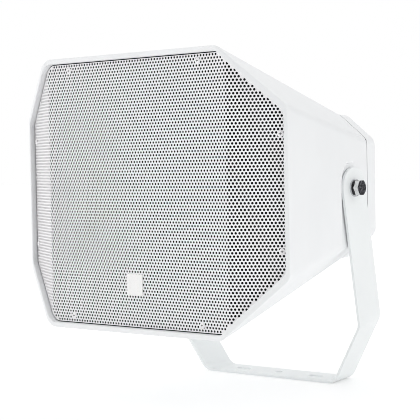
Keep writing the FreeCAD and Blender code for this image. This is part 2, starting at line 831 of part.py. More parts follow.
MOUNT = "(web_depth + web_thick)"
FLANGE = f"({MOUNT} + gasket_thick)"
BACK = f"({FLANGE} + basket_deep)"
PLATE_REAR = f"({BACK} + plate_thick)"
MAGNET_REAR = f"({PLATE_REAR} + magnet_thick)"
FLANGE_INNER = "(basket_size / 2 - flange_width)"
CONE_OUTER = f"({FLANGE_INNER} - surround_width)"
CONE_RIM = f"({CONE_OUTER} - cone_flat)"


def ring(name, y_front, y_rear, inner, outer):
    return keep(name, revolve(name, [(y_front, inner), (y_front, outer), (y_rear, outer), (y_rear, inner)]))


def make_driver():
    gasket_inner = "(basket_size / 2 - gasket_width)"
    gasket = revolve("DriverGasket", [(MOUNT, gasket_inner), (MOUNT, "basket_size / 2"),
                                      (FLANGE, "basket_size / 2"), (FLANGE, gasket_inner)])
    keep("driver_gasket", cut(gasket, *driver_screw_bores()))

    flange_rear = f"({FLANGE} + flange_thick)"
    step = f"({BACK} - basket_sheet)"
    bore = "coil_size / 2 + 3 * coil_gap"
    basket = revolve("Basket", [
        (FLANGE, FLANGE_INNER), (FLANGE, "basket_size / 2"), (flange_rear, "basket_size / 2"),
        (flange_rear, f"{FLANGE_INNER} + basket_sheet"), (BACK, "basket_back / 2"), (BACK, bore),
        (step, bore), (step, "basket_back / 2 - basket_sheet"), (flange_rear, FLANGE_INNER)])
    windows = doc.addObject("Part::Feature", "Windows")
    windows.Shape = Part.makeCompound(basket_windows())
    keep("driver_basket", cut(basket, windows, *driver_screw_bores()))

    roll = f"({FLANGE_INNER} - surround_width / 2)"
    glue = f"({FLANGE} - surround_thick)"
    behind = rod("basket_size", "basket_deep", y=FLANGE)
    half_roll = cut(hoop(roll, "surround_width / 2", FLANGE),
                    hoop(roll, "surround_width / 2 - surround_thick", FLANGE), behind)
    rims = [(f"{FLANGE_INNER} - surround_thick", f"{FLANGE_INNER} + surround_lip"),
            (CONE_RIM, f"{CONE_OUTER} + surround_thick")]
    flats = [revolve("SurroundRim", [(glue, inner), (glue, outer), (FLANGE, outer), (FLANGE, inner)])
             for inner, outer in rims]
    keep("driver_surround", fuse(half_roll, *flats))

    neck = f"({FLANGE} + cone_depth)"
    cone = [(FLANGE, CONE_RIM), (FLANGE, CONE_OUTER), (f"{FLANGE} + cone_thick", CONE_OUTER),
            (f"{FLANGE} + cone_thick", f"{CONE_RIM} + cone_thick"), (f"{neck} + cone_thick", "cone_neck / 2"),
            (neck, "cone_neck / 2")]
    keep("driver_cone", revolve("Cone", cone))

    share = f"(({CONE_RIM} - cap_size / 2) / ({CONE_RIM} - cone_neck / 2))"
    foot = f"({FLANGE} + cone_depth * {share} - glue_line)"
    dome = "((cap_size ^ 2 / 4 + cap_rise ^ 2) / (2 * cap_rise))"
    middle = f"{foot} - cap_rise + {dome}"
    cap_room = rod("cap_size", "cap_rise", y=f"{foot} - cap_rise")
    keep("driver_dust_cap", common(cut(ball(dome, middle), ball(f"{dome} - cap_thick", middle)), cap_room))

    coil_front = f"({neck} - coil_lap)"
    ring("voice_coil", coil_front, f"({BACK} + coil_tail)", "coil_size / 2 - coil_thick",
         "coil_size / 2 - glue_line / 2")
    spider_y = f"({step} - spider_thick)"
    ring("driver_spider", spider_y, step, "coil_size / 2 + glue_line", "spider_size / 2")
    ring("driver_top_plate", BACK, PLATE_REAR, "coil_size / 2 + coil_gap", "plate_size / 2")
    ring("driver_magnet", PLATE_REAR, MAGNET_REAR, "magnet_bore / 2", "magnet_size / 2")
    pole = "coil_size / 2 - coil_thick - coil_gap"
    yoke_rear = f"({MAGNET_REAR} + yoke_thick)"
    keep("driver_yoke", revolve("Yoke", [(BACK, "0"), (BACK, pole), (MAGNET_REAR, pole),
                                         (MAGNET_REAR, "yoke_size / 2"), (yoke_rear, "yoke_size / 2"),
                                         (yoke_rear, "0")]))

    head = "driver_screw_head / 2"
    shank = "driver_screw_size / 2 - thread_fit"
    top = f"({flange_rear} + driver_screw_head_high)"
    screws = []
    for x, z in driver_screw_spots():
        screw = revolve("DriverScrew", [("web_depth", "0"), ("web_depth", shank), (flange_rear, shank),
                                        (flange_rear, head), (top, "driver_screw_crown / 2"), (top, "0")])
        seat(screw, x, "0", z)
        screws.append(screw)
    keep("driver_screws", group(*screws))


def basket_windows():
    """Openings between the basket's spokes: wedges cut out of a ring."""
    count = int(size("window_count"))
    front = size(f"{FRONT_Y} + {FLANGE} + window_margin")
    deep = size("basket_deep - 2 * window_margin")
    inner, outer = size("basket_back / 2 - window_bite"), size("basket_size / 2")
    axis = Vector(0, front, size("pivot_height"))
    wedges = []
    for number in range(count):
        wedge = Part.makeCylinder(outer, deep, axis, Vector(0, 1, 0), size("window_angle"))
        wedge = wedge.cut(Part.makeCylinder(inner, deep, axis, Vector(0, 1, 0)))
        wedge.rotate(axis, Vector(0, 1, 0), number * 360 / count)
        wedges.append(wedge)
    return wedges


# Transformer and terminal block

TRANSFORMER_X = "(seam_width / 2 - transformer_inset)"


def transformer_screw_spots():
    reach = "(core_width / 2 + core_ear / 2)"
    return [f"{TRANSFORMER_X} + {reach}", f"{TRANSFORMER_X} - {reach}"]


def rectangle(left, low, right, high):
    return [(left, low), (right, low), (right, high), (left, high)]


def make_transformer():
    base = f"({COVER_Y} + cover_depth - wall)"
    half_w, half_z = "(core_width / 2)", "(core_stack / 2)"
    window_low, window_high = f"({base} - core_high + core_limb)", f"({base} - core_limb)"
    window_out = f"({half_w} - core_limb)"
    core = body("Core")
    outline = [rectangle(f"-{half_w}", f"{base} - core_high", half_w, base),
               rectangle(f"-{window_out}", window_low, "-core_limb", window_high),
               rectangle("core_limb", window_low, window_out, window_high)]
    pad(core, sketch(core, "XY_Plane", outline), "core_stack", both=True)
    ear = f"({half_w} + core_ear)"
    ears = rectangle(f"-{ear}", f"-{half_z}", ear, half_z)
    pad(core, sketch(core, "XZ_Plane", [ears], f"-{base}"), "ear_thick")
    seat(core, TRANSFORMER_X, "0", "transformer_z")
    holes = [rod("terminal_screw_size + screw_fit", "wall + ear_thick", x, f"{base} - ear_thick - wall / 2",
                 "transformer_z") for x in transformer_screw_spots()]
    keep("transformer_core", cut(core, *holes))

    winding = body("Winding")
    outer_x, outer_z = f"({window_out} - winding_fit)", f"({half_z} + winding_over)"
    inner_x, inner_z = "(core_limb + winding_fit)", f"({half_z} + winding_fit)"
    loops = [rectangle(f"-{outer_x}", f"-{outer_z}", outer_x, outer_z),
             rectangle(f"-{inner_x}", f"-{inner_z}", inner_x, inner_z)]
    pad(winding, sketch(winding, "XZ_Plane", loops, f"-({window_low} + winding_fit)"),
        "core_high - 2 * core_limb - 2 * winding_fit", back=True)
    seat(winding, TRANSFORMER_X, "0", "transformer_z")
    keep("transformer_winding", winding)

    front = f"({base} - ear_thick)"
    screws = [cover_wall_screw("CoreScrew", front, x, "transformer_z") for x in transformer_screw_spots()]
    keep("transformer_screws", group(*screws))


def cover_wall_screw(name, seat_y, x, z):
    """Small screw driven from inside into the rear cover's wall."""
    head = "terminal_screw_head / 2"
    shank = "terminal_screw_size / 2 - thread_fit"
    tip = f"({COVER_Y} + cover_depth - wall + wall_bite)"
    crown = f"({seat_y} - terminal_screw_head_high)"
    screw = revolve(name, [(crown, "0"), (crown, head), (seat_y, head), (seat_y, shank), (tip, shank),
                           (tip, "0")])
    seat(screw, x, "0", z)
    return screw


def terminal_screw_spots():
    reach = "(terminal_width / 2 - terminal_screw_head)"
    return [f"-gland_x / 2 + {reach}", f"-gland_x / 2 - {reach}"]


def make_terminals():
    inner = f"({COVER_Y} + cover_depth - wall)"
    front = f"({inner} - terminal_deep)"
    block = body("Block")
    half_w, half_h = "terminal_width / 2", "terminal_height / 2"
    outline = rectangle(f"-{half_w}", f"-{half_h}", half_w, half_h)
    pad(block, sketch(block, "XZ_Plane", [outline], f"-{front}"), "terminal_deep", back=True)
    seat(block, "-gland_x / 2", "0", "-terminal_drop")
    holes = [rod("terminal_screw_size + screw_fit", "2 * cover_depth", x, f"{inner} - cover_depth",
                 "-terminal_drop") for x in terminal_screw_spots()]
    keep("terminal_block", cut(block, *holes))

    screws = [cover_wall_screw("BlockScrew", front, x, "-terminal_drop") for x in terminal_screw_spots()]
    keep("terminal_screws", group(*screws))


# U bracket: base strap, two sloping shoulders and two leaning arms, bent from one strip

def make_bracket():
    bracket = doc.addObject("Part::Feature", "Bracket")
    thick = size("strap_thick")
    outer = bent_block(0)
    inner = bent_block(thick)
    strip = outer.cut(inner).common(side_outline())
    half_span = size(ARM_FACE)
    pivot = Vector(-2 * half_span, -size("pivot_forward"), size("pivot_height"))
    strip = strip.cut(Part.makeCylinder(size("pivot_hole / 2"), 4 * half_span, pivot, Vector(1, 0, 0)))
    strip = strip.cut(Part.makeCylinder(size("base_hole / 2"), 4 * thick, Vector(0, 0, -thick)))
    for side in (-1, 1):
        strip = strip.cut(slot(side * size("slot_spacing / 2"), thick))
    bracket.Shape = strip.removeSplitter()
    keep("u_bracket", bracket)


def bent_block(inset):
    """Block between the arms, with its lower corners sliced off along the shoulders and rounded."""
    half = size(ARM_FACE) - inset
    tall = 2 * size("pivot_height")
    lean = math.radians(size("arm_lean"))
    front = size("pivot_forward + arm_width")
    block = Part.makeBox(2 * half, front + size("arm_width"), tall, Vector(-half, -front, inset))
    fold = Vector(0, math.cos(lean), math.sin(lean))
    bend = Vector(size(ARM_FACE), -size("pivot_forward"), size("pivot_height"))
    bend += Vector(0, math.sin(lean), -math.cos(lean)) * size("arm_reach")
    slope = Vector(size("base_width / 2"), 0, 0) - bend
    normal = fold.cross(slope).normalize()
    if normal.x < 0:
        normal = -normal
    for side in (1, -1):
        facing = Vector(side * normal.x, normal.y, normal.z)
        spot = Vector(side * bend.x, bend.y, bend.z) - facing * inset
        wedge = Part.makeBox(2 * tall, 2 * tall, tall, Vector(-tall, -tall, 0))
        wedge.Placement = Placement(spot, Rotation(Vector(0, 0, 1), facing))
        block = block.cut(wedge)
    radius = size("bend_radius + strap_thick") - inset
    return block.makeFillet(radius, [e for e in block.Edges if is_bend(e, half, inset)])


def is_bend(edge, half, inset):
    """Edges of the sliced block at the tops and feet of the shoulders."""
    ends = [v.Point for v in edge.Vertexes]
    at_arm = all(abs(abs(p.x) - half) < TOUCH for p in ends)
    at_base = all(abs(p.z - inset) < TOUCH for p in ends)
    run = ends[-1] - ends[0]
    slanted_arm = at_arm and abs(run.y) > 1 and abs(run.z) > 1
    slanted_base = at_base and abs(run.y) > 1 and abs(run.x) > 1
    return slanted_arm or slanted_base


def side_outline():
    """The strip seen from the side: round arm end, leaning edges, then the base's width."""
    half = size("arm_width / 2")
    lean = math.radians(size("arm_lean"))
    across = Vector(0, math.cos(lean), math.sin(lean)) * half
    down = Vector(0, math.sin(lean), -math.cos(lean))
    pivot = Vector(0, -size("pivot_forward"), size("pivot_height"))
    bend = pivot + down * size("arm_reach")
    below = -2 * size("strap_thick")
    corners = [pivot + across, bend + across, Vector(0, half, 0), Vector(0, half, below),
               Vector(0, -half, below), Vector(0, -half, 0), bend - across, pivot - across]
    edges = [Part.Arc(pivot - across, pivot - down * half, pivot + across)]
    edges += [Part.LineSegment(a, b) for a, b in zip(corners, corners[1:])]
    face = Part.Face(Part.Wire([edge.toShape() for edge in edges]))
    reach = 2 * size(ARM_FACE)
    face.translate(Vector(-reach, 0, 0))
    return face.extrude(Vector(2 * reach, 0, 0))


def slot(x, thick):
    radius = size("slot_width / 2")
    half = size("slot_length / 2") - radius
    middle = Part.makeBox(2 * half, 2 * radius, 4 * thick, Vector(x - half, -radius, -thick))
    ends = [Part.makeCylinder(radius, 4 * thick, Vector(x + side * half, 0, -thick)) for side in (-1, 1)]
    return middle.multiFuse(ends)


# Pivot hardware: bolt, washers and insert on each side

FLAT_TOP = f"({ARM_FACE} + flat_washer_thick)"
SPRING_TOP = f"({FLAT_TOP} + spring_washer_thick)"
HEAD_TOP = f"({SPRING_TOP} + bolt_head_high)"


def turned_pair(name, corners, extra=None):
    """A piece turned about the pivot axis, on both sides of the cabinet."""
    piece = revolve(name, corners, "XY_Plane")
    if extra:
        extra(piece)
    seat(piece, "0", "pivot_depth")
    keep(name, both_sides(piece))


def tube(name, x_inner, x_outer, bore, outside, extra=None):
    turned_pair(name, [(x_inner, bore), (x_outer, bore), (x_outer, outside), (x_inner, outside)], extra)


def make_pivots():
    def hex_head(piece):
        pad(piece, sketch(piece, "YZ_Plane", [hexagon("bolt_af")], SPRING_TOP), "bolt_head_high")
        fall = "(bolt_af - bolt_crown / 2) * tan(bolt_slope)"
        turn(piece, "Groove", [(HEAD_TOP, "bolt_crown / 2"), (HEAD_TOP, "bolt_af"),
                               (f"{HEAD_TOP} - {fall}", "bolt_af")], "XY_Plane")

    def split(piece):
        gap = rectangle("-spring_washer_gap / 2", "0", "spring_washer_gap / 2", "spring_washer_size")
        pocket_through(piece, sketch(piece, "YZ_Plane", [gap]))
    shank = "bolt_size / 2"
    turned_pair("pivot_bolts", [(INSERT_END, "0"), (f"{SPRING_TOP} + bolt_head_high / 2", "0"),
                                (f"{SPRING_TOP} + bolt_head_high / 2", shank), (INSERT_END, shank)], hex_head)
    bore = f"{shank} + washer_fit"
    tube("spring_washers", FLAT_TOP, SPRING_TOP, bore, "spring_washer_size / 2", split)
    tube("flat_washers", ARM_FACE, FLAT_TOP, bore, "flat_washer_size / 2")
    tube("friction_washers", POCKET_FLOOR, ARM_INNER, bore, "friction_size / 2")
    tube("threaded_inserts", INSERT_END, POCKET_FLOOR, f"{shank} + insert_fit", "insert_size / 2")


make_cabinet()
make_grille()
make_grille_screws()
make_rear_cover()
make_gland()
make_driver()
make_transformer()
make_terminals()
make_bracket()
make_pivots()
doc.recompute()

for item in doc.Objects:
    if "Invalid" in item.State or "Error" in item.State:
        raise RuntimeError(f"{item.Name} ({item.Label}) failed: {item.State}")
for name, item in PARTS.items():
    if item.Shape.isNull() or not item.Shape.isValid():
        raise RuntimeError(f"{name} has no valid shape")

os.makedirs("parts", exist_ok=True)
for name, item in PARTS.items():
    item.Shape.exportStep(f"parts/{name}.step")
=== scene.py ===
import json
import math

import bmesh
import bpy
import numpy as np
from mathutils import Matrix, Vector
from mathutils.geometry import delaunay_2d_cdt


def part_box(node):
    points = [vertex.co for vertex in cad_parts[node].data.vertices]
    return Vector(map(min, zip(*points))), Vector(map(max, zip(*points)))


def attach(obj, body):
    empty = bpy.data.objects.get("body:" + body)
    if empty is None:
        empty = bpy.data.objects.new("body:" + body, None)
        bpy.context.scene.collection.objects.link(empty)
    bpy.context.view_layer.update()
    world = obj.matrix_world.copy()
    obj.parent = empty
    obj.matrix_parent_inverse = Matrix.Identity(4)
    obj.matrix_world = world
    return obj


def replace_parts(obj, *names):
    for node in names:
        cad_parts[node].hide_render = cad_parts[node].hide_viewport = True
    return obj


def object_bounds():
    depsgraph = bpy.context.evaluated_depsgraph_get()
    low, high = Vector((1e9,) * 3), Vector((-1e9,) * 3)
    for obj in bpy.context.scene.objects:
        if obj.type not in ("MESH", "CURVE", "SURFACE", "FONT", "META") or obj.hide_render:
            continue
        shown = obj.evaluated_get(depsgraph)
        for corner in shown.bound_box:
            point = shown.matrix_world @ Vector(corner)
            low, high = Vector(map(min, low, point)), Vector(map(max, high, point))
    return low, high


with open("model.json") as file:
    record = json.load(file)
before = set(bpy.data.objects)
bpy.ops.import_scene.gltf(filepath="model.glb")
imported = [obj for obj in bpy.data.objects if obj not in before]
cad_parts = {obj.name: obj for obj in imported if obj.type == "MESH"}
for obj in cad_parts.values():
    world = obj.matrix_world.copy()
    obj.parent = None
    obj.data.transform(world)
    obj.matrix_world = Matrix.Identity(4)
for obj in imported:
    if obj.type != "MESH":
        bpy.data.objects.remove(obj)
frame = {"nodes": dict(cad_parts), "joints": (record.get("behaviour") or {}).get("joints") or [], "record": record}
cad_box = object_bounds()
nodes = frame["nodes"]
MM = 0.001


# Sizes

# Places in the frame, in metres: the tilt axis, and the corners of the grille's box
PIVOT = Vector(frame["joints"][0]["pos_m"])
GRILLE_LOW, GRILLE_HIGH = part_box("grille")

# Outline of the grille sheet as seen from the front, in millimetres
SHEET_HALF_W = (GRILLE_HIGH.x - GRILLE_LOW.x) / 2 / MM
SHEET_HALF_H = (GRILLE_HIGH.z - GRILLE_LOW.z) / 2 / MM
SHEET_THICK = 0.8
CORNER_W = 61.21
CORNER_H = 64.08
CORNER_ROUND = 9.8
CORNER_STEPS = 6

# Folds of the sheet, in millimetres: where the flat panels' faces would meet, and the bend's radius at the
# face. UNFOLD_STEPS is the number of points from which the unfolding is interpolated
FOLD_X = 129.25
FOLD_ANGLE = math.radians(30)
FOLD_RADIUS = 7.0
UNFOLD_STEPS = 4000

# Staggered rows of holes, in millimetres on the unfolded sheet. LATTICE_X and LATTICE_Z are the middle of one
# hole, EDGE_MARGIN is the least steel between a hole and the sheet's edge, and SPARE_ROWS is the number of
# rows by which the line that divides the sheet runs past it
HOLE_PITCH = 4.0
HOLE_RISE = HOLE_PITCH * math.sqrt(3) / 2
HOLE_RADIUS = 1.4
HOLE_SIDES = 8
EDGE_MARGIN = 0.2
HOLE_INSET = HOLE_RADIUS + EDGE_MARGIN
LATTICE_X = 23.8
LATTICE_Z = 3.6
SPARE_ROWS = 3
MERGE_DISTANCE = 1e-6

# Dark foam in the gap round the sheet's edge, painted shade of the gap, in millimetres: its width, and its
# depths behind the sheet's face
GAP_SHADE_WIDTH = 1.1
GAP_SHADE_FRONT = 1.1
GAP_SHADE_REAR = 2.6

# Grille screws, in millimetres: places in one quarter, and the outline as radius and height above the sheet
SCREW_PLACES = ((94.0, SHEET_HALF_H - 7.5), (SHEET_HALF_W - 5.3, 61.0))
SCREW_OUTLINE = ((2.0, 1.6), (3.3, 0.8), (3.3, 0.0), (1.75, 0.0), (1.75, -9.0))
SCREW_SIDES = 24

# Cross sunk into a screw's head, in millimetres: its arms' length from the middle and half their width, the
# heights above the sheet of its floor and of the dark piece that fills its lower part as painted shade, and
# that piece's clearance from its walls and floor
CROSS_REACH = 1.5
CROSS_HALF = 0.42
CROSS_FLOOR = 0.4
SHADE_FILL_TOP = 1.0
SHADE_FILL_SIDE_GAP = 0.03
SHADE_FILL_FLOOR_GAP = 0.02

# Painted dark reflection on the outer end of the pivot bolts, in millimetres: how far from the end it starts and
# is full
PAINTED_REFLECTION_START = 1.2
PAINTED_REFLECTION_FULL = 0.5


# Materials

# Span of a noise texture's values over which a finish changes
NOISE_LOW = 0.3
NOISE_HIGH = 0.7

# Octaves of the noise in a finish, and the strength of its bump
DRIFT_DETAIL = 4.0
GRAIN_DETAIL = 2.0
BUMP_STRENGTH = 0.35

# Sockets of a Mix node that are in use when it mixes colours
MIX_FACTOR = 0
MIX_FIRST = 6
MIX_SECOND = 7
MIX_RESULT = 2

# Finish of each material slot. Its colour drifts from low to high in patches, and its grain takes its
# roughness from one value of rough to the other and dents it. Patches, grain and the depth of the dents are
# in millimetres, and stretch multiplies the coordinates of the grain
FINISHES = {
    "cabinet_plastic": dict(
        name="moulded_plastic", low=(0.868, 0.880, 0.890), high=(0.888, 0.900, 0.910),
        rough=(0.42, 0.54), patch=60, grain=0.9, depth=0.03),
    "grille_paint": dict(
        name="grille_powder_coat", low=(0.93, 0.918, 0.93), high=(0.95, 0.938, 0.952),
        rough=(0.40, 0.52), patch=40, grain=1.3, depth=0.03),
    "bracket_paint": dict(
        name="bracket_powder_coat", low=(0.858, 0.882, 0.886), high=(0.880, 0.904, 0.908),
        rough=(0.38, 0.50), patch=45, grain=1.4, depth=0.04),
    "badge_paint": dict(
        name="badge_face", low=(0.92, 0.915, 0.91), high=(0.94, 0.935, 0.93),
        rough=(0.25, 0.34), patch=10, grain=0.7, depth=0.01),
    "plated_steel": dict(
        name="plated_steel", low=(0.50, 0.51, 0.53), high=(0.66, 0.67, 0.69),
        rough=(0.16, 0.34), patch=3, grain=0.5, depth=0.02, metallic=1.0, stretch=(1, 1, 6)),
    "insert_brass": dict(
        name="turned_brass", low=(0.58, 0.42, 0.18), high=(0.74, 0.56, 0.27),
        rough=(0.22, 0.38), patch=4, grain=0.6, depth=0.02, metallic=1.0),
    "dark_rubber": dict(
        name="dark_rubber", low=(0.022, 0.021, 0.02), high=(0.04, 0.038, 0.036),
        rough=(0.72, 0.88), patch=6, grain=0.5, depth=0.03),
    "friction_fibre": dict(
        name="pressed_fibre", low=(0.10, 0.10, 0.105), high=(0.17, 0.17, 0.175),
        rough=(0.70, 0.86), patch=3, grain=0.4, depth=0.04),
    "screen_cloth": dict(
        name="open_foam", low=(0.006, 0.006, 0.007), high=(0.022, 0.022, 0.024),
        rough=(0.85, 0.97), patch=1.2, grain=0.5, depth=0.12, specular=0.1),
    "cone_paper": dict(
        name="pulp_cone", low=(0.03, 0.03, 0.032), high=(0.06, 0.06, 0.06),
        rough=(0.75, 0.92), patch=5, grain=0.5, depth=0.08),
    "basket_steel": dict(
        name="basket_paint", low=(0.035, 0.035, 0.038), high=(0.06, 0.06, 0.064),
        rough=(0.36, 0.52), patch=12, grain=0.8, depth=0.02),
    "magnet_ferrite": dict(
        name="ferrite", low=(0.05, 0.05, 0.052), high=(0.10, 0.10, 0.10),
        rough=(0.5, 0.75), patch=5, grain=0.4, depth=0.03),
    "coil_copper": dict(
        name="copper_wire", low=(0.45, 0.20, 0.09), high=(0.66, 0.34, 0.16),
        rough=(0.22, 0.40), patch=4, grain=0.4, depth=0.06, metallic=1.0, stretch=(1, 8, 1)),
    "core_steel": dict(
        name="laminations", low=(0.20, 0.19, 0.18), high=(0.34, 0.33, 0.32),
        rough=(0.34, 0.55), patch=5, grain=0.5, depth=0.06, metallic=0.8, stretch=(1, 1, 9)),
    "gland_nylon": dict(
        name="nylon", low=(0.10, 0.10, 0.105), high=(0.15, 0.15, 0.155),
        rough=(0.42, 0.58), patch=8, grain=0.6, depth=0.02),
}

# Finishes of single nodes, which differ from the rest of their slot, and of the floor
BOLT_PLATING = dict(
    name="bolt_steel", low=(0.66, 0.66, 0.67), high=(0.82, 0.82, 0.82),
    rough=(0.20, 0.38), patch=3, grain=0.5, depth=0.02, metallic=1.0)
# Painted dark reflection on the bolts' outer ends: the width of its patches in millimetres, and its colours and
# where they change
BOLT_PAINTED_REFLECTION_PATCH = 2.2
BOLT_PAINTED_REFLECTION = dict(low=(0.012, 0.012, 0.016), high=(0.16, 0.16, 0.18), start=0.45, end=0.75)
BLACKENED_STEEL = dict(
    name="blackened_steel", low=(0.02, 0.02, 0.022), high=(0.07, 0.07, 0.075),
    rough=(0.30, 0.48), patch=3, grain=0.5, depth=0.02, metallic=1.0)
PALE_FLOOR = dict(
    name="pale_floor", low=(0.93, 0.93, 0.93), high=(0.95, 0.95, 0.95),
    rough=(0.6, 0.7), patch=300, grain=4, depth=0.01)


def link(tree, source, target):
    """Joins an output of a node to an input of another."""
    tree.links.new(source, target)


def object_place(tree):
    """The object's own coordinates, in metres."""
    return tree.nodes.new("ShaderNodeTexCoord").outputs["Object"]


def noise(tree, width, detail, stretch=None):
    """Noise whose features are about as wide as given, in millimetres."""
    place = object_place(tree)
    if stretch:
        squeeze = tree.nodes.new("ShaderNodeMapping")
        squeeze.inputs["Scale"].default_value = stretch
        link(tree, place, squeeze.inputs["Vector"])
        place = squeeze.outputs["Vector"]
    texture = tree.nodes.new("ShaderNodeTexNoise")
    texture.inputs["Scale"].default_value = 1 / (width * MM)
    texture.inputs["Detail"].default_value = detail
    link(tree, place, texture.inputs["Vector"])
    return texture.outputs["Fac"]


def ramp(tree, factor, low, high, start=NOISE_LOW, end=NOISE_HIGH):
    """Colour that goes from low to high as the factor does."""
    made = tree.nodes.new("ShaderNodeValToRGB")
    made.color_ramp.elements[0].position = start
    made.color_ramp.elements[1].position = end
    made.color_ramp.elements[0].color = (*low, 1)
    made.color_ramp.elements[1].color = (*high, 1)
    link(tree, factor, made.inputs["Fac"])
    return made.outputs["Color"]


def spread(tree, factor, start, end, low, high):
    """Number that goes from low to high as the factor goes from start to end."""
    made = tree.nodes.new("ShaderNodeMapRange")
    made.inputs["From Min"].default_value = start
    made.inputs["From Max"].default_value = end
    made.inputs["To Min"].default_value = low
    made.inputs["To Max"].default_value = high
    link(tree, factor, made.inputs["Value"])
    return made.outputs["Result"]


def bumped(tree, surface, height, distance):
    """Dents a surface by a height texture."""
    bump = tree.nodes.new("ShaderNodeBump")
    bump.inputs["Strength"].default_value = BUMP_STRENGTH
    bump.inputs["Distance"].default_value = distance
    link(tree, height, bump.inputs["Height"])
    link(tree, bump.outputs["Normal"], surface.inputs["Normal"])


def finish_material(name, low, high, rough, patch, grain, depth, metallic=0.0, stretch=None, specular=0.5):
    """Surface whose colour drifts in soft patches and whose grain roughens and dents it."""
    made = bpy.data.materials.new(name)
    made.use_nodes = True
    tree = made.node_tree
    surface = tree.nodes["Principled BSDF"]
    drift = noise(tree, patch, DRIFT_DETAIL)
    fine = noise(tree, grain, GRAIN_DETAIL, stretch)
    link(tree, ramp(tree, drift, low, high), surface.inputs["Base Color"])
    link(tree, spread(tree, fine, NOISE_LOW, NOISE_HIGH, *rough), surface.inputs["Roughness"])
    bumped(tree, surface, fine, depth * MM)
    surface.inputs["Metallic"].default_value = metallic
    surface.inputs["Specular IOR Level"].default_value = specular
    return made


def bolt_steel():
    """Plated steel with a painted dark reflection on the outer end of each bolt."""
    made = finish_material(**BOLT_PLATING)
    tree = made.node_tree
    surface = tree.nodes["Principled BSDF"]
    plated = surface.inputs["Base Color"].links[0].from_socket
    # Dark patches painted on the outer end as its reflection
    painted_reflection = ramp(tree, noise(tree, BOLT_PAINTED_REFLECTION_PATCH, GRAIN_DETAIL), **BOLT_PAINTED_REFLECTION)
    along = tree.nodes.new("ShaderNodeSeparateXYZ")
    link(tree, object_place(tree), along.inputs["Vector"])
    reach = tree.nodes.new("ShaderNodeMath")
    reach.operation = "ABSOLUTE"
    link(tree, along.outputs["X"], reach.inputs[0])
    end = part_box("pivot_bolts")[1].x
    outer = spread(tree, reach.outputs["Value"], end - PAINTED_REFLECTION_START * MM, end - PAINTED_REFLECTION_FULL * MM, 0.0, 1.0)
    blend = tree.nodes.new("ShaderNodeMix")
    blend.data_type = "RGBA"
    link(tree, outer, blend.inputs[MIX_FACTOR])
    link(tree, plated, blend.inputs[MIX_FIRST])
    link(tree, painted_reflection, blend.inputs[MIX_SECOND])
    link(tree, blend.outputs[MIX_RESULT], surface.inputs["Base Color"])
    return made


def finish_nodes():
    """Gives each CAD node the material of its slot, or its own."""
    finish_of = {part["node"]: materials[part["material_slot"]] for part in frame["record"]["subparts"]}
    finish_of["pivot_bolts"] = bolt_steel()
    finish_of["spring_washers"] = finish_material(**BLACKENED_STEEL)
    for node, carried in nodes.items():
        carried.data.materials.clear()
        carried.data.materials.append(finish_of[node])


materials = {slot: finish_material(**finish) for slot, finish in FINISHES.items()}
finish_nodes()


# Outline of the grille sheet

def meeting(first, second):
    """Where two lines, each a point and a direction, meet."""
    (p, d), (q, e) = first, second
    return p + d * ((q - p).cross(e) / d.cross(e))


def inset_ring(ring, inset):
    """Moves each side of a counter-clockwise ring inwards."""
    lines = []
    for a, b in zip(ring, ring[1:] + ring[:1]):
        along = (b - a).normalized()
        lines.append((a + along.orthogonal() * inset, along))
    return [meeting(lines[i - 1], lines[i]) for i in range(len(lines))]


def rounded_ring(ring, radius):
    """Counter-clockwise ring with an arc at each corner."""
    points = []
    for before, corner, after in zip(ring[-1:] + ring[:-1], ring, ring[1:] + ring[:1]):
        back = (before - corner).normalized()
        on = (after - corner).normalized()
        half = back.angle(on) / 2
        middle = corner + (back + on).normalized() * (radius / math.sin(half))
        start = corner + back * (radius / math.tan(half)) - middle
        swing = math.pi - 2 * half
        for step in range(CORNER_STEPS + 1):
            points.append(middle + Matrix.Rotation(swing * step / CORNER_STEPS, 2) @ start)
    return np.array([tuple(p) for p in points])


def sheet_ring(inset):
    """Edge of the sheet seen from the front, moved inwards: an octagon with rounded corners."""
    quarter = [Vector((SHEET_HALF_W, SHEET_HALF_H - CORNER_H)),
               Vector((SHEET_HALF_W - CORNER_W, SHEET_HALF_H))]
    half = quarter + [Vector((-p.x, p.y)) for p in reversed(quarter)]
    ring = half + [-p for p in half]
    return rounded_ring(inset_ring(ring, inset), CORNER_ROUND - inset)


def within(ring, points):
    """Which points lie in a convex counter-clockwise ring."""
    kept = np.ones(len(points), bool)
    for a, b in zip(ring, np.roll(ring, -1, axis=0)):
        kept &= (b[0] - a[0]) * (points[:, 1] - a[1]) > (b[1] - a[1]) * (points[:, 0] - a[0])
    return kept


# Folding of the grille sheet

def folded(points, depth):
    """Places in metres on the folded sheet of points of the unfolded one, at a depth behind its face."""
    run = np.abs(points[:, 0])
    arc_start = FOLD_X - FOLD_RADIUS * math.tan(FOLD_ANGLE / 2)
    lean = np.clip((run - arc_start) / FOLD_RADIUS, 0, FOLD_ANGLE)
    beyond = np.maximum(run - arc_start - FOLD_RADIUS * FOLD_ANGLE, 0)
    x = np.minimum(run, arc_start) + (FOLD_RADIUS - depth) * np.sin(lean) + beyond * np.cos(lean)
    y = FOLD_RADIUS - (FOLD_RADIUS - depth) * np.cos(lean) + beyond * np.sin(lean)
    x *= np.sign(points[:, 0])
    return np.column_stack((x * MM, GRILLE_LOW.y + y * MM, PIVOT.z + points[:, 1] * MM))


def seen(points):
    """The same points as seen from the front of the folded sheet, in millimetres."""
    return (folded(points, 0.0)[:, [0, 2]] - (0, PIVOT.z)) / MM


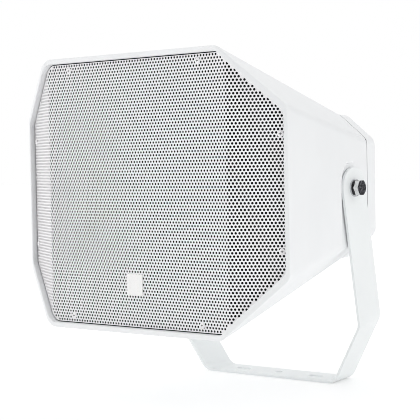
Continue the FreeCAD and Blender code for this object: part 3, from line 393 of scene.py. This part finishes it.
def unfolded(ring):
    """A ring seen from the front, laid on the unfolded sheet, with a point where it crosses each fold."""
    runs = np.linspace(0, 2 * SHEET_HALF_W, UNFOLD_STEPS)
    reach = seen(np.column_stack((runs, runs)))[:, 0]
    points = []
    for a, b in zip(ring, np.roll(ring, -1, axis=0)):
        points.append(a)
        if (abs(a[0]) - FOLD_X) * (abs(b[0]) - FOLD_X) < 0 and a[0] * b[0] > 0:
            points.append(a + (b - a) * (math.copysign(FOLD_X, a[0]) - a[0]) / (b[0] - a[0]))
    points = np.array(points)
    run = np.sign(points[:, 0]) * np.interp(np.abs(points[:, 0]), reach, runs)
    return np.column_stack((run, points[:, 1]))


# Holes of the grille sheet

def lattice(row, column):
    """Middle of a place in the staggered rows of holes."""
    return np.column_stack((LATTICE_X + (column + (row % 2) / 2) * HOLE_PITCH, LATTICE_Z + row * HOLE_RISE))


def lattice_place(points):
    """Row and column of the lattice place nearest to each point."""
    row = np.rint((points[:, 1] - LATTICE_Z) / HOLE_RISE).astype(int)
    column = np.rint((points[:, 0] - LATTICE_X) / HOLE_PITCH - (row % 2) / 2).astype(int)
    return row, column


def hole_centres():
    """Middles of the holes that clear the sheet's edge."""
    rows = np.arange(-2 * SHEET_HALF_H // HOLE_RISE, 2 * SHEET_HALF_H // HOLE_RISE).astype(int)
    columns = np.arange(-2 * SHEET_HALF_W // HOLE_PITCH, 2 * SHEET_HALF_W // HOLE_PITCH).astype(int)
    row, column = (grid.ravel() for grid in np.meshgrid(rows, columns))
    points = lattice(row, column)
    return points[within(sheet_ring(HOLE_INSET), seen(points))]


def split_x(row):
    """Where a row of holes is divided between the left and right halves of the sheet."""
    return LATTICE_X + ((row % 2) / 2 - 0.5 - LATTICE_X // HOLE_PITCH) * HOLE_PITCH


def split_line():
    """Stepped line up the middle of the sheet that passes between the holes."""
    top = int(SHEET_HALF_H / HOLE_RISE) + SPARE_ROWS
    line = []
    for row in range(-top, top):
        low = LATTICE_Z + (row - 0.5) * HOLE_RISE
        line += [(split_x(row), low), (split_x(row), low + HOLE_RISE)]
    return np.array(line)


def triangulated(centres):
    """Points and triangles of the unfolded sheet, its holes left open, and which of them are on its right."""
    turns = (np.arange(HOLE_SIDES) + 0.5) * (2 * math.pi / HOLE_SIDES)
    hole = np.column_stack((np.cos(turns), np.sin(turns))) * HOLE_RADIUS
    line = split_line()
    rings = [unfolded(sheet_ring(0))] + [centre + hole for centre in centres]
    points = [Vector(p) for p in np.vstack([line] + rings)]
    borders = [(i, i + 1) for i in range(len(line) - 1)]
    first = len(line)
    for ring in rings:
        borders += [(first + i, first + (i + 1) % len(ring)) for i in range(len(ring))]
        first += len(ring)
    made = delaunay_2d_cdt(points, borders, [], 0, MERGE_DISTANCE, False)
    points = np.array([tuple(p) for p in made[0]])
    triangles = np.array(made[2])
    middles = points[triangles].mean(axis=1)
    row, column = lattice_place(middles)
    spots = lattice(row, column)
    in_hole = np.hypot(*(middles - spots).T) < HOLE_RADIUS * math.cos(math.pi / HOLE_SIDES)
    in_hole &= within(sheet_ring(HOLE_INSET), seen(spots))
    keep = within(sheet_ring(0), seen(middles)) & ~in_hole
    return points, triangles[keep], middles[keep, 0] > split_x(row[keep])


# Grille sheet, and dark foam painting the gap's shade

def speaker_piece(name, places, faces, slot):
    """New piece that moves with the speaker, from its corners in metres and its faces."""
    mesh = bpy.data.meshes.new(name)
    mesh.from_pydata(places.tolist(), [], faces)
    mesh.materials.append(materials[slot])
    made = bpy.data.objects.new(name, mesh)
    bpy.context.scene.collection.objects.link(made)
    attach(made, "speaker")
    return made


def sheet_piece(name, points, triangles):
    """Closed sheet over some of the triangles: front, back, and walls round every open edge."""
    used, corners = np.unique(triangles, return_inverse=True)
    front = corners.reshape(-1, 3)
    points = points[used]
    count = len(points)
    sides = np.vstack([front[:, [0, 1]], front[:, [1, 2]], front[:, [2, 0]]])
    paired = set(map(tuple, sides))
    open_sides = np.array([side for side in paired if (side[1], side[0]) not in paired])
    open_sides = open_sides[np.lexsort(open_sides.T)]
    a, b = open_sides.T
    walls = np.column_stack((b, a, a + count, b + count))
    faces = front.tolist() + (front[:, ::-1] + count).tolist() + walls.tolist()
    places = np.vstack((folded(points, 0.0), folded(points, SHEET_THICK)))
    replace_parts(speaker_piece(name, places, faces, "grille_paint"), "grille")


def gap_shade_strip(name, side):
    """Dark foam in the gap along the top (side 1) or bottom (side -1) of the sheet, painted shade of the gap."""
    loops = [unfolded(sheet_ring(inset)) for inset in (-GAP_SHADE_WIDTH, 0)]
    outer, inner = (loop[loop[:, 1] * side > 0] for loop in loops)
    count = len(outer)
    places = np.vstack([folded(loop, depth) for depth in (GAP_SHADE_FRONT, GAP_SHADE_REAR) for loop in (outer, inner)])
    corners = np.array([0, 1, 3, 2]) * count
    faces = [corners.tolist(), (corners[::-1] + count - 1).tolist()]
    for a, b in zip(corners, np.roll(corners, -1)):
        faces += [(int(a + i), int(a + i + 1), int(b + i + 1), int(b + i)) for i in range(count - 1)]
    speaker_piece(name, places, faces, "screen_cloth")


sheet_points, sheet_triangles, on_right = triangulated(hole_centres())
sheet_piece("grille_left", sheet_points, sheet_triangles[~on_right])
sheet_piece("grille_right", sheet_points, sheet_triangles[on_right])
# Dark foam strips in the gap round the sheet: painted shade
gap_shade_strip("gap_shade_foam_top", 1)
gap_shade_strip("gap_shade_foam_bottom", -1)


# Grille screws

def cross_outline(inset):
    """Counter-clockwise outline of the cross in a screw's head, moved inwards."""
    reach = CROSS_REACH - inset
    half = CROSS_HALF - inset
    x = np.array([half, -half, -half])
    y = np.array([reach, reach, half])
    outline = []
    for _ in range(4):
        outline += list(zip(x, y))
        x, y = -y, x
    return outline


def ring_verts(shape, outline, high):
    """Corners of an outline at a height."""
    return [shape.verts.new((x, y, high)) for x, y in outline]


def walled(shape, upper, lower):
    """Wall between two rings of corners."""
    for i in range(len(upper)):
        shape.faces.new((upper[i - 1], upper[i], lower[i], lower[i - 1]))


def screw():
    """One screw about its own axis, with a cross sunk into its head."""
    shape = bmesh.new()
    turns = np.arange(SCREW_SIDES) * (2 * math.pi / SCREW_SIDES)
    rings = [ring_verts(shape, zip(radius * np.cos(turns), radius * np.sin(turns)), high)
             for radius, high in SCREW_OUTLINE]
    head_top = SCREW_OUTLINE[0][1]
    brink = ring_verts(shape, cross_outline(0), head_top)
    sunk = ring_verts(shape, cross_outline(0), CROSS_FLOOR)
    for upper, lower in [*zip(rings, rings[1:]), (brink, sunk)]:
        walled(shape, upper, lower)
    shape.faces.new(rings[-1])
    shape.faces.new(sunk)
    open_edges = [edge for edge in shape.edges if edge.is_boundary]
    bmesh.ops.triangle_fill(shape, edges=open_edges, use_beauty=True)
    return shape


def painted_shade_cross():
    """Dark piece at the bottom of a screw's cross, painted shade of the recess, about the screw's axis."""
    shape = bmesh.new()
    outline = cross_outline(SHADE_FILL_SIDE_GAP)
    lower = ring_verts(shape, outline, CROSS_FLOOR + SHADE_FILL_FLOOR_GAP)
    upper = ring_verts(shape, outline, SHADE_FILL_TOP)
    walled(shape, upper, lower)
    shape.faces.new(upper)
    shape.faces.new(lower)
    return shape


def on_sheet(points, place):
    """Points about a screw's axis, moved to the screw's place on the folded sheet."""
    side = math.copysign(1, place[0])
    lean = FOLD_ANGLE if abs(place[0]) > FOLD_X else 0.0
    along = (math.cos(lean), side * math.sin(lean), 0)
    outward = (side * math.sin(lean), -math.cos(lean), 0)
    return folded(unfolded(np.array([place])), 0.0) + points @ np.array([along, (0, 0, 1), outward]) * MM


def at_screws(name, shape, slot):
    """Piece with a copy of a shape at each of the grille's screws."""
    bmesh.ops.recalc_face_normals(shape, faces=shape.faces)
    shape.verts.index_update()
    points = np.array([vert.co for vert in shape.verts])
    sides = [[vert.index for vert in face.verts] for face in shape.faces]
    shape.free()
    places = []
    faces = []
    for x, z in SCREW_PLACES:
        for place in ((x, z), (-x, z), (x, -z), (-x, -z)):
            faces += [[i + len(points) * len(places) for i in side] for side in sides]
            places.append(on_sheet(points, place))
    return speaker_piece(name, np.vstack(places), faces, slot)


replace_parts(at_screws("screw_heads", screw(), "grille_paint"), "grille_screws")
# Dark crosses in the screws' recesses: painted shade
at_screws("screw_cross_shade", painted_shade_cross(), "basket_steel")


# Camera, light and floor

# The photograph's view: place in millimetres, turns, and focal length and width of the picture in pixels
CAMERA_PLACE = (945.2, -1339.5, 271.4)
CAMERA_YAW = math.radians(38.14)
CAMERA_PITCH = math.radians(2.12)
CAMERA_ROLL = math.radians(-1.062)
FOCAL_PX = 1292.05
PICTURE_PX = 420
SENSOR_MM = 36
CLIP_END_M = 50

# Soft lights and shades round the object: the way to each, the cosines of the angles from it at which it
# starts and is full, and its strength, which is added to the surroundings' 1 and is negative for a shade
STUDIO = (
    # Behind the camera, a wide shade and a narrower one
    ((0.62, -0.78, 0.05), 0.30, 0.97, -0.20),
    ((0.62, -0.78, 0.05), 0.65, 0.97, -0.55),
    # Right
    ((0.92, 0.40, 0.10), 0.60, 0.95, 0.36),
    # Left front, and left
    ((-0.60, -0.80, 0.15), 0.70, 0.97, 0.34),
    ((-0.98, -0.15, 0.20), 0.70, 0.97, 0.12),
    # Behind the object, out of the camera's view
    ((0.15, 1.00, 0.10), 0.86, 0.98, -0.80),
)

# Floor: half its width in metres, its depth below the part in millimetres, and the glow that keeps it white
FLOOR_REACH_M = 12.0
FLOOR_DROP = 0.2
FLOOR_GLOW = 0.16

# Width of Cycles' pixel filter, in pixels
PIXEL_FILTER = 0.9


def camera():
    """Camera at the photograph's view."""
    flat = math.cos(CAMERA_PITCH)
    back = Vector((math.sin(CAMERA_YAW) * flat, -math.cos(CAMERA_YAW) * flat, math.sin(CAMERA_PITCH)))
    level = Vector((math.cos(CAMERA_YAW), math.sin(CAMERA_YAW), 0))
    upright = back.cross(level)
    right = math.cos(CAMERA_ROLL) * level + math.sin(CAMERA_ROLL) * upright
    up = math.cos(CAMERA_ROLL) * upright - math.sin(CAMERA_ROLL) * level
    made = bpy.data.objects.new("camera", bpy.data.cameras.new("camera"))
    made.data.sensor_width = SENSOR_MM
    made.data.lens = SENSOR_MM * FOCAL_PX / PICTURE_PX
    made.data.clip_end = CLIP_END_M
    turn = Matrix((right, up, back)).transposed()
    made.matrix_world = Matrix.Translation(Vector(CAMERA_PLACE) * MM) @ turn.to_4x4()
    bpy.context.scene.collection.objects.link(made)
    bpy.context.scene.camera = made


def studio():
    """White surroundings with soft lights at both sides, and shades behind the camera and the object."""
    world = bpy.data.worlds.new("studio")
    bpy.context.scene.world = world
    world.use_nodes = True
    tree = world.node_tree
    sky = tree.nodes["Background"]
    sky.inputs["Color"].default_value = (1, 1, 1, 1)
    way = tree.nodes.new("ShaderNodeTexCoord").outputs["Generated"]
    level = None
    for towards, start, full, strength in STUDIO:
        facing = tree.nodes.new("ShaderNodeVectorMath")
        facing.operation = "DOT_PRODUCT"
        facing.inputs[1].default_value = Vector(towards).normalized()
        link(tree, way, facing.inputs[0])
        total = tree.nodes.new("ShaderNodeMath")
        total.inputs[1].default_value = 1.0
        link(tree, spread(tree, facing.outputs["Value"], start, full, 0.0, strength), total.inputs[0])
        if level:
            link(tree, level, total.inputs[1])
        level = total.outputs["Value"]
    link(tree, level, sky.inputs["Strength"])


def floor():
    """Plain pale floor just below the part."""
    corners = [(x * FLOOR_REACH_M, y * FLOOR_REACH_M, 0) for x, y in ((-1, -1), (1, -1), (1, 1), (-1, 1))]
    mesh = bpy.data.meshes.new("floor")
    mesh.from_pydata(corners, [], [(0, 1, 2, 3)])
    made = bpy.data.objects.new("floor", mesh)
    made.location.z = cad_box[0].z - FLOOR_DROP * MM
    bpy.context.scene.collection.objects.link(made)
    pale = finish_material(**PALE_FLOOR)
    surface = pale.node_tree.nodes["Principled BSDF"]
    surface.inputs["Emission Color"].default_value = (1, 1, 1, 1)
    surface.inputs["Emission Strength"].default_value = FLOOR_GLOW
    mesh.materials.append(pale)


camera()
studio()
floor()
bpy.context.scene.view_settings.view_transform = "Standard"
bpy.context.scene.cycles.filter_width = PIXEL_FILTER
